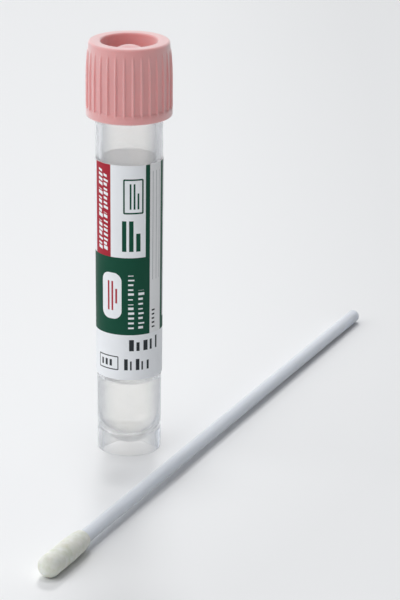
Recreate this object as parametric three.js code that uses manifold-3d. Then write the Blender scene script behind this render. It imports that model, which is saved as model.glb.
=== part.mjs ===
// A self-standing transport tube with a ribbed screw cap, a wrapped label and a measure of liquid
// medium, and the collection swab that belongs in it, lying beside it.
//
// Millimetres, +Z up, +Y away from the label's front. The origin is the middle of the set's
// footprint, on the surface that the tube and the swab stand on.

import * as THREE from 'three';
import { mergeVertices, toCreasedNormals } from 'three/addons/utils/BufferGeometryUtils.js';
import Module from 'manifold-3d';

const wasm = await Module();
wasm.setup();

// ---------------------------------------------------------------- driving dimensions

// Tube: one moulding, drafted from the neck to the foot.
const tubeHeight = 73.4;
const tubeNeckRadius = 6.15;
const tubeFootRadius = 5.84;
const tubeWall = 1.0;
const skirtWall = 0.9;
const bottomWall = 1.0;
const bottomLift = 1.45; // the round bottom's lowest point over the table
const footRound = 0.35;
const notchRound = 0.25; // root of the gap between the round bottom and the skirt
const neckLength = 9.0;
const neckStep = 0.25; // the neck is this much slimmer than the body below it
const rimRound = 0.25;

// Thread on the neck, and the one in the cap that runs under it.
const threadPitch = 3.0;
const threadTurns = 1.75;
const threadHeight = 0.45;
const threadRootWidth = 1.3;
const threadCrestWidth = 0.5;
const threadLead = 1.0; // from the rim to the top of the thread
const threadClearance = 0.12;
const capThreadHeight = 0.25;
const capThreadTurns = 1.5;

// Screw cap: one moulding.
const capHeight = 13.8;
const capWall = 1.13;
const capTopTaper = 0.46; // the top edge is this much inside the plain band at the mouth
const capTopRound = 0.3;
const capMouthChamfer = 0.3;
const capBandHeight = 1.5;
const ribCount = 30;
const ribDepth = 0.36;
const ribCrestWidth = 0.26;
const ribFootWidth = 0.5;
const ribTopGap = 1.5; // smooth shoulder above the ribs
const ribTurn = THREE.MathUtils.degToRad(6.5); // of the first rib, from the label's front
const recessRadius = 5.2;
const recessDepth = 3.0;
const recessEdgeRound = 0.35;
const recessFloorRound = 0.4;
const panelThickness = 1.2;
const bossRadius = 2.6;
const bossDrop = 0.9; // the boss's top below the cap's rim
const domeHeight = 0.8;
const bossSkin = 1.0; // over the blind end of the capture socket

// Seal and capture socket on the cap's underside.
const sealGap = 0.1;
const plugDepth = 3.0;
const plugWall = 0.8;
const plugTipChamfer = 0.3;
const socketDepth = 4.2;
const socketWall = 0.8;
const socketClearance = 0.1;
const socketMouthFlare = 0.5;

// Label.
const labelBottom = 15.1;
const labelHeight = 40.9;
const labelThickness = 0.1;
const labelGap = 0.05;
const labelLap = 3.2;

// Transport medium.
const mediumLevel = 13.6;
const mediumGap = 0.1;
const meniscusRise = 0.4;
const meniscusWidth = 1.6;

// Swab.
const swabLength = 148;
const shaftRadius = 1.25;
const shaftEndRound = 0.3;
const tipLength = 14.8;
const tipRadius = 2.03;
const tipBore = 9.5; // how far the shaft reaches into the bud
const tipFit = 0.3;
const tipLip = 0.15; // the bud's rim round the shaft

// Where the swab lies, seen from above with the tube's axis at zero.
const swabHeading = THREE.MathUtils.degToRad(67.1);
const swabTipX = -12.9;
const swabTipY = -64.2;

// Facets round each revolved form.
const tubeSides = 48;
const capSides = 48;
const recessSides = 60;
const shaftSides = 24;
const tipSides = 28;

// ---------------------------------------------------------------- sizes that follow

const neckStart = tubeHeight - neckLength;
const neckRootRadius = tubeNeckRadius - neckStep;
const threadCrestRadius = neckRootRadius + threadHeight;
const capThreadCrestRadius = threadCrestRadius + threadClearance;
const capBore = capThreadCrestRadius + capThreadHeight;
const capBandRadius = capBore + capWall;
const ribValleyRadius = capBandRadius - ribDepth;
const capTopRadius = capBandRadius - capTopTaper;
const recessFloor = capHeight - recessDepth;
const capLand = recessFloor - panelThickness; // underside of the top panel, over the tube's rim
const capBottom = tubeHeight + sealGap - capLand;
const socketBore = shaftRadius + socketClearance;
const tipWidest = tipLength / 2;

/** The rod dips from the bud to its far end, because both rest on the table. */
const swabDip = Math.atan((tipRadius - shaftRadius) / (swabLength - shaftEndRound - tipWidest));

/** Outer radius of the drafted tube wall at a height. */
function tubeRadius(z) {
  return THREE.MathUtils.lerp(tubeFootRadius, tubeNeckRadius, z / neckStart);
}

/** Radius of the tube's bore at a height. */
function boreRadius(z) {
  return tubeRadius(z) - tubeWall;
}

// The round bottom's outer sphere rests bottomLift over the table, and its inner sphere runs
// tangent into the bore.
const bottomCentre = bottomLift + bottomWall + boreRadius(bottomLift + bottomWall + tubeFootRadius);
const bottomInner = boreRadius(bottomCentre);
const bottomOuter = bottomInner + bottomWall;

// ---------------------------------------------------------------- geometry helpers

/** Points of [radius, height] along an arc, angles in degrees from +radius towards +height. */
function arc(r, z, radius, from, to, steps) {
  return Array.from({ length: steps + 1 }, (_, i) => {
    const a = THREE.MathUtils.degToRad(THREE.MathUtils.lerp(from, to, i / steps));
    return [r + radius * Math.cos(a), z + radius * Math.sin(a)];
  });
}

/** Drops vertices that repeat and triangles that have no area because of them. */
function weld(geometry) {
  const bare = geometry.clone();
  bare.deleteAttribute('normal');
  bare.deleteAttribute('uv');
  const merged = mergeVertices(bare, 1e-5);
  const kept = [];
  const index = merged.index.array;
  for (let i = 0; i < index.length; i += 3) {
    const [a, b, c] = [index[i], index[i + 1], index[i + 2]];
    if (a !== b && b !== c && c !== a) kept.push(a, b, c);
  }
  merged.setIndex(kept);
  return merged;
}

/** Form turned about +Z from a profile of [radius, height]. Column 0 faces -Y. */
function revolve(profile, sides) {
  const points = profile.map(([r, z]) => new THREE.Vector2(r, z));
  const geometry = new THREE.LatheGeometry(points, sides);
  geometry.rotateX(Math.PI / 2);
  return weld(geometry);
}

/** Closed form swept about +Z. Each station has a turn from the front and a loop of [radius, height]. */
function sweepAround(stations) {
  const size = stations[0].loop.length;
  const positions = [];
  for (const { turn, loop } of stations) {
    for (const [r, z] of loop) positions.push(r * Math.sin(turn), -r * Math.cos(turn), z);
  }
  const index = [];
  const last = (stations.length - 1) * size;
  for (let s = 0; s < last; s += size) {
    for (let k = 0; k < size; k++) {
      const next = (k + 1) % size;
      index.push(s + k, s + size + k, s + size + next);
      index.push(s + k, s + size + next, s + next);
    }
  }
  for (let k = 1; k < size - 1; k++) {
    index.push(0, k, k + 1);
    index.push(last, last + k + 1, last + k);
  }
  const geometry = new THREE.BufferGeometry();
  geometry.setAttribute('position', new THREE.Float32BufferAttribute(positions, 3));
  geometry.setIndex(index);
  return geometry;
}

function toSolid(geometry) {
  const { position } = geometry.attributes;
  return new wasm.Manifold(new wasm.Mesh({
    numProp: 3,
    vertProperties: Float32Array.from(position.array),
    triVerts: Uint32Array.from(geometry.index.array),
  }));
}

function toGeometry(solid) {
  const mesh = solid.getMesh();
  const geometry = new THREE.BufferGeometry();
  geometry.setAttribute('position', new THREE.BufferAttribute(mesh.vertProperties, 3));
  geometry.setIndex(new THREE.BufferAttribute(mesh.triVerts, 1));
  return geometry;
}

/**
 * Right-hand helical ridge that runs out into the wall at both ends. wall is its buried side and
 * crest its free side, each with a radius and a width.
 */
function helicalRidge({ wall, crest, pitch, turns, bottom, perTurn }) {
  const steps = Math.round(turns * perTurn);
  const runOut = perTurn / 6;
  const leastRise = 0.05;
  const stations = [];
  for (let i = 0; i <= steps; i++) {
    const rise = THREE.MathUtils.clamp(Math.min(i, steps - i) / runOut, leastRise, 1);
    const z = bottom + (pitch * i) / perTurn;
    const free = { radius: THREE.MathUtils.lerp(wall.radius, crest.radius, rise), width: crest.width };
    const [inner, outer] = wall.radius < crest.radius ? [wall, free] : [free, wall];
    stations.push({
      turn: (2 * Math.PI * i) / perTurn,
      loop: [
        [inner.radius, z - inner.width / 2],
        [outer.radius, z - outer.width / 2],
        [outer.radius, z + outer.width / 2],
        [inner.radius, z + inner.width / 2],
      ],
    });
  }
  return sweepAround(stations);
}

// ---------------------------------------------------------------- tube

/** Section of the tube, from the round bottom's underside out, up the wall and down the bore. */
function tubeProfile() {
  const skirtInner = tubeFootRadius - skirtWall;
  const notchSweep = Math.acos((skirtInner - notchRound) / bottomOuter);
  const notchAngle = -THREE.MathUtils.radToDeg(notchSweep);
  const notchZ = bottomCentre - bottomOuter * Math.sin(notchSweep);
  return [
    ...arc(0, bottomCentre, bottomOuter, -90, notchAngle, 9),
    [skirtInner, notchZ + notchRound / 2],
    [skirtInner, footRound / 2],
    [skirtInner + footRound / 2, 0],
    ...arc(tubeFootRadius - footRound, footRound, footRound, -90, 0, 3),
    [tubeNeckRadius, neckStart - neckStep],
    [neckRootRadius, neckStart],
    ...arc(neckRootRadius - rimRound, tubeHeight - rimRound, rimRound, 0, 90, 2),
    ...arc(boreRadius(tubeHeight) + rimRound, tubeHeight - rimRound, rimRound, 90, 180, 2),
    ...arc(0, bottomCentre, bottomInner, 0, -90, 12),
  ];
}

function tubeThread() {
  const top = tubeHeight - threadLead - threadRootWidth / 2;
  return helicalRidge({
    wall: { radius: neckRootRadius - threadHeight / 2, width: threadRootWidth },
    crest: { radius: threadCrestRadius, width: threadCrestWidth },
    pitch: threadPitch,
    turns: threadTurns,
    bottom: top - threadPitch * threadTurns,
    perTurn: tubeSides,
  });
}

function makeTube() {
  const body = toSolid(revolve(tubeProfile(), tubeSides));
  return toGeometry(body.add(toSolid(tubeThread())));
}

// ---------------------------------------------------------------- screw cap

/** Outer section of the cap, as a solid form without its hollows. */
function capSkinProfile() {
  const ribTop = capHeight - ribTopGap;
  const ribMiddle = THREE.MathUtils.lerp(capBandHeight, ribTop, 0.6);
  return [
    [0, 0],
    [capBandRadius - capMouthChamfer, 0],
    [capBandRadius, capMouthChamfer],
    [capBandRadius, capBandHeight - ribDepth / 2],
    [capBandRadius, capBandHeight + ribDepth / 2],
    [capBandRadius, ribMiddle],
    [capBandRadius - capTopTaper / 3, THREE.MathUtils.lerp(ribMiddle, ribTop, 0.6)],
    [THREE.MathUtils.lerp(capTopRadius, capBandRadius, 0.25), ribTop],
    ...arc(capTopRadius - capTopRound, capHeight - capTopRound, capTopRound, 10, 90, 3),
    [0, capHeight],
  ];
}

/** The cap's outer form, with each rib's four columns drawn to its crest and its feet. */
function ribbedSkin() {
  const profile = capSkinProfile();
  const columns = 4 * ribCount;
  const pitch = (2 * Math.PI) / ribCount;
  const crest = ribCrestWidth / capBandRadius / 2;
  const foot = ribFootWidth / capBandRadius / 2;
  const turns = [-crest, crest, foot, pitch - foot];
  const geometry = new THREE.LatheGeometry(profile.map(([r, z]) => new THREE.Vector2(r, z)), columns);
  const { position } = geometry.attributes;
  for (let column = 0; column <= columns; column++) {
    const step = column % 4;
    const turn = ribTurn + pitch * Math.floor((column % columns) / 4) + turns[step];
    for (let j = 0; j < profile.length; j++) {
      const [r, z] = profile[j];
      const ribbed = z > capBandHeight && z < capHeight - ribTopGap + 1e-6;
      const radius = ribbed && step > 1 ? Math.min(r, ribValleyRadius) : r;
      const i = column * profile.length + j;
      position.setXYZ(i, radius * Math.sin(turn), z, radius * Math.cos(turn));
    }
  }
  geometry.rotateX(Math.PI / 2);
  return weld(geometry);
}

/** Everything that the underside leaves open, round the plug ring and the capture socket. */
function capHollowProfile() {
  const plugOuter = boreRadius(tubeHeight) - sealGap;
  const plugInner = plugOuter - plugWall;
  const plugTip = capLand - plugDepth;
  const socketOuter = socketBore + socketWall;
  const socketTip = capLand - socketDepth;
  return [
    [0, -1],
    [capBore + capMouthChamfer, -1],
    [capBore + capMouthChamfer, 0],
    [capBore, capMouthChamfer],
    [capBore, capLand],
    [plugOuter, capLand],
    [plugOuter, plugTip + plugTipChamfer],
    [plugOuter - plugTipChamfer, plugTip],
    [plugInner, plugTip],
    [plugInner, capLand],
    [socketOuter, capLand],
    [socketOuter, socketTip],
    [socketBore + socketMouthFlare, socketTip],
    [socketBore, socketTip + 2 * socketMouthFlare],
    [socketBore, capHeight - bossDrop - bossSkin],
    [0, capHeight - bossDrop - bossSkin],
  ];
}

/** The recess in the cap's top, round the domed boss. */
function capRecessProfile() {
  const bossTop = capHeight - bossDrop;
  const domeRadius = (bossRadius ** 2 + domeHeight ** 2) / (2 * domeHeight);
  const domeSweep = THREE.MathUtils.radToDeg(Math.asin(bossRadius / domeRadius));
  return [
    ...arc(0, bossTop - domeRadius, domeRadius, 90, 90 - domeSweep, 5),
    [bossRadius, recessFloor + recessFloorRound],
    [bossRadius + recessFloorRound, recessFloor],
    ...arc(recessRadius - recessFloorRound, recessFloor + recessFloorRound, recessFloorRound, -90, 0, 2),
    ...arc(recessRadius + recessEdgeRound, capHeight - recessEdgeRound, recessEdgeRound, 180, 90, 2),
    [recessRadius + recessEdgeRound, capHeight + 1],
    [0, capHeight + 1],
  ];
}

/** Half a pitch under the tube's thread, as a tightened cap's thread lies. */
function capThread() {
  const tubeThreadTop = capLand - sealGap - threadLead - threadRootWidth / 2;
  return helicalRidge({
    wall: { radius: capBore + capThreadHeight / 2, width: threadRootWidth },
    crest: { radius: capThreadCrestRadius, width: threadCrestWidth },
    pitch: threadPitch,
    turns: capThreadTurns,
    bottom: tubeThreadTop - threadPitch * (threadTurns + 0.5),
    perTurn: capSides,
  });
}

function makeCap() {
  const skin = toSolid(ribbedSkin());
  const hollow = toSolid(revolve(capHollowProfile(), capSides));
  const recess = toSolid(revolve(capRecessProfile(), recessSides));
  return toGeometry(skin.subtract(hollow).subtract(recess).add(toSolid(capThread())));
}

// ---------------------------------------------------------------- label and medium

/** A strip wound once round the tube, its end lapped over its start at the back. */
function makeLabel() {
  const step = (2 * Math.PI) / tubeSides;
  const labelTop = labelBottom + labelHeight;
  const lapTurn = labelLap / tubeRadius(labelBottom);
  const start = Math.PI;
  const end = start + 2 * Math.PI + lapTurn;
  const turns = [start];
  for (let turn = start + step; turn < end - step / 4; turn += step) turns.push(turn);
  turns.push(end);
  const stations = turns.map((turn) => {
    const over = THREE.MathUtils.smoothstep(turn, start + 2 * Math.PI - 2 * step, start + 2 * Math.PI);
    const inner = labelGap + over * (labelThickness + labelGap);
    const outer = inner + labelThickness;
    return {
      turn,
      loop: [
        [tubeRadius(labelBottom) + inner, labelBottom],
        [tubeRadius(labelBottom) + outer, labelBottom],
        [tubeRadius(labelTop) + outer, labelTop],
        [tubeRadius(labelTop) + inner, labelTop],
      ],
    };
  });
  return sweepAround(stations);
}

/** The liquid, filling the round bottom to its level and climbing a little at the wall. */
function makeMedium() {
  const wallRadius = boreRadius(mediumLevel) - mediumGap;
  return revolve([
    ...arc(0, bottomCentre, bottomInner - mediumGap, -90, 0, 9),
    [wallRadius, mediumLevel + meniscusRise],
    [wallRadius - 0.3 * meniscusWidth, mediumLevel + 0.35 * meniscusRise],
    [wallRadius - meniscusWidth, mediumLevel],
    [0, mediumLevel],
  ], tubeSides);
}

// ---------------------------------------------------------------- swab

/** The rod along +X, from inside the bud to its far end. */
function makeShaft() {
  const start = tipLength - tipBore;
  const geometry = revolve([
    [0, start],
    ...arc(shaftRadius - shaftEndRound, start + shaftEndRound, shaftEndRound, -90, 0, 2),
    ...arc(shaftRadius - shaftEndRound, swabLength - shaftEndRound, shaftEndRound, 0, 90, 2),
    [0, swabLength],
  ], shaftSides);
  return geometry.rotateY(Math.PI / 2);
}

/** The bud along +X: a round nose, straight sides, and a shoulder that closes in on the rod. */
function makeTip() {
  const bore = shaftRadius + tipFit;
  const floor = tipLength - tipBore - tipFit;
  const rim = Math.min(bore + tipLip, tipRadius);
  const shoulder = new THREE.QuadraticBezierCurve(
    new THREE.Vector2(tipRadius, tipWidest),
    new THREE.Vector2(tipRadius, tipLength * 0.86),
    new THREE.Vector2(rim, tipLength),
  );
  const geometry = revolve([
    ...arc(0, tipRadius, tipRadius, -90, 0, 7),
    ...shoulder.getPoints(6).map(({ x, y }) => [x, y]),
    [bore, tipLength],
    [bore, floor],
    [0, floor],
  ], tipSides);
  return geometry.rotateY(Math.PI / 2);
}

// ---------------------------------------------------------------- assembly

function mesh(name, geometry, color, roughness, extra = {}) {
  const material = new THREE.MeshStandardMaterial({ color, roughness, metalness: 0, ...extra });
  const crease = THREE.MathUtils.degToRad(30);
  const shaded = toCreasedNormals(geometry, crease);
  const part = new THREE.Mesh(shaded, material);
  part.name = name;
  return part;
}

function makeTubeGroup() {
  const group = new THREE.Group();
  const clear = { transparent: true, opacity: 0.45 };
  group.add(mesh('tube', makeTube(), 0xe6e9ea, 0.25, clear));
  group.add(mesh('transport_medium', makeMedium(), 0xd8dcd6, 0.05, clear));
  group.add(mesh('label', makeLabel(), 0xf2f2f0, 0.4));
  const cap = mesh('screw_cap', makeCap(), 0xd98f90, 0.42);
  cap.position.z = capBottom;
  group.add(cap);
  return group;
}

function makeSwabGroup() {
  const group = new THREE.Group();
  group.add(mesh('swab_shaft', makeShaft(), 0xf0f2f5, 0.3));
  group.add(mesh('swab_tip', makeTip(), 0xd9dbcf, 0.95));
  group.rotation.set(0, swabDip, swabHeading, 'ZYX');
  group.position.set(swabTipX, swabTipY, 0);
  group.updateMatrixWorld(true);
  group.position.z = -new THREE.Box3().setFromObject(group, true).min.z;
  return group;
}

const set = new THREE.Group();
set.add(makeTubeGroup(), makeSwabGroup());
set.updateMatrixWorld(true);
const middle = new THREE.Box3().setFromObject(set, true).getCenter(new THREE.Vector3());
for (const child of set.children) {
  child.position.x -= middle.x;
  child.position.y -= middle.y;
}

export default set;
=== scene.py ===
"""Looks of a self-standing specimen tube with a ribbed screw cap, a wrapped printed label and a
measure of liquid medium, and of the collection swab that lies beside it.

Run as a script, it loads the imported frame, builds each piece with its own operator around it, and
places the floor, the lights and the camera. Lengths are in metres, but those whose names end in
_mm or _MM, and those in tables that say so, are in millimetres, as on a drawing.
"""

import math

import bmesh
import bpy
import numpy as np
from bpy.props import FloatProperty, FloatVectorProperty, IntProperty, PointerProperty
from bpy.types import Operator, Panel, PropertyGroup
from mathutils import Euler, Matrix, Vector


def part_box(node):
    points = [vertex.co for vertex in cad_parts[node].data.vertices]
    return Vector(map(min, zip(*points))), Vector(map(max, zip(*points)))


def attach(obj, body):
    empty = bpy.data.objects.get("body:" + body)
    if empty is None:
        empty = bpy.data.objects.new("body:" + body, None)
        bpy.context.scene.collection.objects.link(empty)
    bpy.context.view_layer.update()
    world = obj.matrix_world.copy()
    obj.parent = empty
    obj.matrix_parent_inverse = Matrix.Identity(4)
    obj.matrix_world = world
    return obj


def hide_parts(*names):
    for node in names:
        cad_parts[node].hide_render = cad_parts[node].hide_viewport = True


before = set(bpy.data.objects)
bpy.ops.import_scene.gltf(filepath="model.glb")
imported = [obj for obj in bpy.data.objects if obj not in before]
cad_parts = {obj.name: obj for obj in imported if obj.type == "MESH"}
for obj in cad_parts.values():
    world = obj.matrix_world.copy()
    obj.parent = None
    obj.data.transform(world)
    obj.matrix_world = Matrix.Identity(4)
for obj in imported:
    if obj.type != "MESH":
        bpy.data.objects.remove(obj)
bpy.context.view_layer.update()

bl_info = {
    "name": "Specimen Swab Tube",
    "version": (1, 0, 0),
    "blender": (4, 5, 0),
    "location": "View3D > Sidebar > Swab Tube",
    "description": "Builds a specimen tube with its screw cap, label and medium, and its swab",
    "category": "Add Mesh",
}

MM = 0.001

# ------------------------------------------------------------------ places taken from the frame

tube_low, tube_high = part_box("tube")
cap_low, cap_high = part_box("screw_cap")
label_low, label_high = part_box("label")
AXIS = Vector(((tube_low.x + tube_high.x) / 2, (tube_low.y + tube_high.y) / 2, 0))


def node_points(name):
    """A CAD node's vertices, as rows of x, y, z."""
    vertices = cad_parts[name].data.vertices
    found = np.zeros(len(vertices) * 3, np.float32)
    vertices.foreach_get("co", found)
    return found.reshape(-1, 3).astype(float)


def rod_line():
    """The rod's near end under the bud, and its direction towards the far end."""
    points = node_points("swab_shaft")
    middle = (points.min(0) + points.max(0)) / 2
    along = np.linalg.svd(points - points.mean(0), full_matrices=False)[2][0]
    along = along * np.sign(along[1])
    far = (points @ along).max()
    nose = (node_points("swab_tip") @ along).min()
    start = middle + along * (nose - middle @ along)
    return Vector(start), Vector(along), far - nose


SWAB_NOSE, SWAB_ALONG, SWAB_LENGTH = rod_line()


# ------------------------------------------------------------------ sizes and colours a user sets


def amount(name, description, default, **more):
    return FloatProperty(name=name, description=description, default=default, min=0, **more)


def length(name, description, default):
    return amount(name, description, default, unit="LENGTH", subtype="DISTANCE")


def colour(name, description, default):
    return FloatVectorProperty(
        name=name, description=description, default=default, min=0, max=1, size=3, subtype="COLOR"
    )


class TubeSettings(PropertyGroup):
    """The tube: one clear moulding that stands on its skirt."""

    height: length("Height", "From the table to the rim", tube_high.z)
    neck_radius: length("Neck radius", "Outside, at the foot of the neck", 6.15 * MM)
    foot_radius: length("Foot radius", "Outside, at the table", 5.84 * MM)
    wall: length("Wall", "Thickness of the wall and of the round bottom", 1.0 * MM)
    neck_length: length("Neck length", "From the rim down to the body", 9.0 * MM)
    plastic: colour("Plastic", "Colour of the clear plastic", (1.0, 0.992, 0.978))


class CapSettings(PropertyGroup):
    """The screw cap: one ribbed moulding."""

    height: length("Height", "From the mouth to the rim", cap_high.z - cap_low.z)
    radius: length("Radius", "Outside, at the band round the mouth", 7.85 * MM)
    ribs: IntProperty(name="Ribs", description="Grip ribs round the cap", default=30, min=6, max=60)
    plastic: colour("Plastic", "Colour of the cap's plastic", (0.73, 0.3, 0.295))


class LabelSettings(PropertyGroup):
    """The label: one printed sheet wrapped once round the tube."""

    bottom: length("Bottom", "Height of its lower edge", label_low.z)
    height: length("Height", "From its lower to its upper edge", label_high.z - label_low.z)
    thickness: length("Thickness", "Thickness of the sheet", 0.1 * MM)
    paper: colour("Paper", "Colour of the bare label", (0.88, 0.898, 0.925))
    red: colour("Red", "Colour of the strip at its left", (0.4, 0.022, 0.04))
    green: colour("Green", "Colour of the block round its foot", (0.005, 0.07, 0.04))


class MediumSettings(PropertyGroup):
    """The liquid in the round bottom."""

    level: length("Level", "Height of the liquid's surface", 13.6 * MM)
    liquid: colour("Liquid", "Colour of the liquid", (1.0, 1.0, 0.99))


class SwabSettings(PropertyGroup):
    """The swab: a moulded rod with a bud of fibre on its end."""

    rod_radius: length("Rod radius", "Radius of the rod", 1.25 * MM)
    bud_radius: length("Bud radius", "Radius of the bud at its widest", 2.03 * MM)
    bud_length: length("Bud length", "From the nose to the rim round the rod", 14.8 * MM)
    rod: colour("Rod", "Colour of the rod", (0.78, 0.815, 0.875))
    fibre: colour("Fibre", "Colour of the bud's fibre", (0.78, 0.79, 0.67))


class StageSettings(PropertyGroup):
    """The floor, the light and the camera."""

    floor: colour("Floor", "Colour of the floor", (0.858, 0.863, 0.872))
    sky: amount("Sky", "Strength of the even light", 0.46)
    tilt: amount("Tilt", "How much more of the even light comes from the left", 0.8, max=1)
    backdrop: amount("Backdrop", "Strength of the backdrop that shows in gloss", 0.72)
    high: amount("High light", "Power of the lamp nearly overhead, in watts", 14.0)
    left: amount("Left light", "Power of the lamp on the left, in watts", 3.5)
    back: amount("Back light", "Power of the small lamp behind, in watts", 95.0)
    glow: amount("Glow", "Power of the wide lamp behind, in watts", 20.0)


SETTINGS = {
    "swabtube_tube": TubeSettings,
    "swabtube_cap": CapSettings,
    "swabtube_label": LabelSettings,
    "swabtube_medium": MediumSettings,
    "swabtube_swab": SwabSettings,
    "swabtube_stage": StageSettings,
}


# ------------------------------------------------------------------ mesh helpers


def arc(r, z, radius, start, end, steps):
    """Points of (radius, height) along an arc, angles in degrees from outward towards up."""
    turns = [math.radians(start + (end - start) * i / steps) for i in range(steps + 1)]
    return [(r + radius * math.cos(a), z + radius * math.sin(a)) for a in turns]


def start_section(bm, section, closed=False, turn=0.0):
    """Draws a section of (radius, height) points in the half plane at that turn from +X."""
    way = Vector((math.cos(turn), math.sin(turn), 0))
    verts = [bm.verts.new(way * r + Vector((0, 0, z))) for r, z in section]
    pairs = list(zip(verts, verts[1:])) + ([(verts[-1], verts[0])] if closed else [])
    return verts + [bm.edges.new(pair) for pair in pairs]


def spin(bm, geom, angle, steps, merge=False):
    """Turns geometry about Z and returns the last section that it leaves."""
    made = bmesh.ops.spin(
        bm,
        geom=geom,
        cent=(0, 0, 0),
        axis=(0, 0, 1),
        dvec=(0, 0, 0),
        angle=angle,
        steps=steps,
        use_merge=merge,
        use_duplicate=False,
    )
    return made["geom_last"]


def close_up(bm):
    """Merges what meets, and turns every face outwards."""
    bmesh.ops.remove_doubles(bm, verts=bm.verts, dist=1e-7)
    bmesh.ops.dissolve_degenerate(bm, edges=bm.edges, dist=1e-8)
    bmesh.ops.recalc_face_normals(bm, faces=bm.faces)


def turned_form(points_mm, steps):
    """A closed form of revolution about Z, from a section that starts and ends on the axis."""
    bm = bmesh.new()
    section = [(max(r, 0) * MM, z * MM) for r, z in points_mm]
    spin(bm, start_section(bm, section), math.tau, steps, merge=True)
    close_up(bm)
    return bm


def set_radius(vert, radius):
    flat = Vector((vert.co.x, vert.co.y, 0)).normalized() * radius
    vert.co.x, vert.co.y = flat.x, flat.y


def turn_of(co):
    """Turn about the axis from the label's front, anticlockwise seen from above."""
    return math.atan2(co.x, -co.y)


def unroll(bm, radius, name):
    """A UV map in millimetres: the arc round Z at that radius, and the height."""
    layer = bm.loops.layers.uv.new(name)
    for face in bm.faces:
        middle = turn_of(face.calc_center_median())
        for loop in face.loops:
            off = math.remainder(turn_of(loop.vert.co) - middle, math.tau)
            loop[layer].uv = ((middle + off) * radius / MM, loop.vert.co.z / MM)


def verts_of(geom):
    return [part for part in geom if isinstance(part, bmesh.types.BMVert)]


def fill_ends(bm):
    """Closes the four-sided ends of a section that was swept round."""
    bmesh.ops.holes_fill(bm, edges=[edge for edge in bm.edges if edge.is_boundary], sides=4)


def helical_ridge(wall_mm, crest_mm, pitch_mm, turns, bottom_mm, start_turn):
    """A thread's ridge that runs out into the wall at both ends. Its wall and its crest are each
    a radius and a width."""
    per_turn = 96
    steps = round(turns * per_turn)
    run_out, least_rise = per_turn / 6, 0.05
    bm = bmesh.new()
    (wall, wall_width), (crest, crest_width) = wall_mm, crest_mm
    foot, tip = wall_width / 2, crest_width / 2
    shape = [(wall, -foot), (crest, -tip), (crest, tip), (wall, foot)]
    section = [(r * MM, (bottom_mm + z) * MM) for r, z in shape]
    last = start_section(bm, section, closed=True, turn=start_turn)
    for i in range(steps + 1):
        rise = max(least_rise, min(1.0, min(i, steps - i) / run_out))
        rows = sorted(verts_of(last), key=lambda v: v.co.z)
        for vert in rows[1:3]:
            set_radius(vert, (wall + (crest - wall) * rise) * MM)
        if i == steps:
            break
        last = spin(bm, last, math.tau / per_turn, 1)
        bmesh.ops.translate(bm, vec=(0, 0, pitch_mm * MM / per_turn), verts=verts_of(last))
    fill_ends(bm)
    close_up(bm)
    return bm


def to_mesh(bm, name, crease=38.0):
    mesh = bpy.data.meshes.new(name)
    bm.to_mesh(mesh)
    bm.free()
    mesh.shade_smooth()
    mesh.set_sharp_from_angle(angle=math.radians(crease))
    return mesh


def link(name, mesh):
    made = bpy.data.objects.new(name, mesh)
    bpy.context.scene.collection.objects.link(made)
    return made


def united(name, base, extra, crease=38.0):
    """One closed mesh of two closed forms that cross."""
    body = link(name, to_mesh(base, name))
    tool = link(name + "_tool", to_mesh(extra, name + "_tool"))
    join = body.modifiers.new("join", "BOOLEAN")
    join.object, join.operation, join.solver = tool, "UNION", "EXACT"
    ready = body.evaluated_get(bpy.context.evaluated_depsgraph_get())
    mesh = bpy.data.meshes.new_from_object(ready)
    mesh.name = name + "_united"
    bpy.data.objects.remove(tool)
    bpy.data.objects.remove(body)
    bm = bmesh.new()
    bm.from_mesh(mesh)
    close_up(bm)
    return to_mesh(bm, name, crease)


def finish_piece(name, mesh, materials, body, slot, *stands_for):
    """Makes the mesh a piece that rides on a CAD body in place of CAD nodes."""
    for material in materials:
        mesh.materials.append(material)
    piece = link(name, mesh)
    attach(piece, body)
    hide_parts(*stands_for)
    return piece


# ------------------------------------------------------------------ node helpers


def fill(tree, socket, value):
    """Links an output to an input, or sets the input's own value."""
    if isinstance(value, bpy.types.NodeSocket):
        tree.links.new(value, socket)
    elif socket.type == "RGBA" and len(value) == 3:
        socket.default_value = (*value, 1)
    else:
        socket.default_value = value


def add_node(tree, kind, inputs=None, **fields):
    made = tree.nodes.new(kind)
    for field, value in fields.items():
        setattr(made, field, value)
    for key, value in (inputs or {}).items():
        fill(tree, made.inputs[key], value)
    return made


def calc(tree, operation, *values):
    """One Math node's output."""
    made = add_node(tree, "ShaderNodeMath", operation=operation)
    for socket, value in zip(made.inputs, values):
        fill(tree, socket, value)
    return made.outputs[0]


def blend_colours(tree, factor, under, over, mode="MIX"):
    made = add_node(tree, "ShaderNodeMix", data_type="RGBA", blend_type=mode)
    fill(tree, made.inputs[0], factor)
    fill(tree, made.inputs[6], under)
    fill(tree, made.inputs[7], over)
    return made.outputs[2]


def ramp(tree, value, low, high, to_low=0.0, to_high=1.0):
    """Maps low to high onto a new low and high, and holds what lies beyond them."""
    values = {"Value": value, "From Min": low, "From Max": high}
    values |= {"To Min": to_low, "To Max": to_high}
    return add_node(tree, "ShaderNodeMapRange", values).outputs["Result"]


def spread(tree, value, low, high):
    """Maps 0 to 1 onto low to high."""
    return ramp(tree, value, 0.0, 1.0, low, high)


def noise(tree, place, scale, detail, **more):
    values = {"Vector": place, "Scale": scale, "Detail": detail, **more}
    return add_node(tree, "ShaderNodeTexNoise", values).outputs[0]


def floats(*names):
    """Those sockets of a node group, each one a number."""
    return dict.fromkeys(names, "Float")


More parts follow.
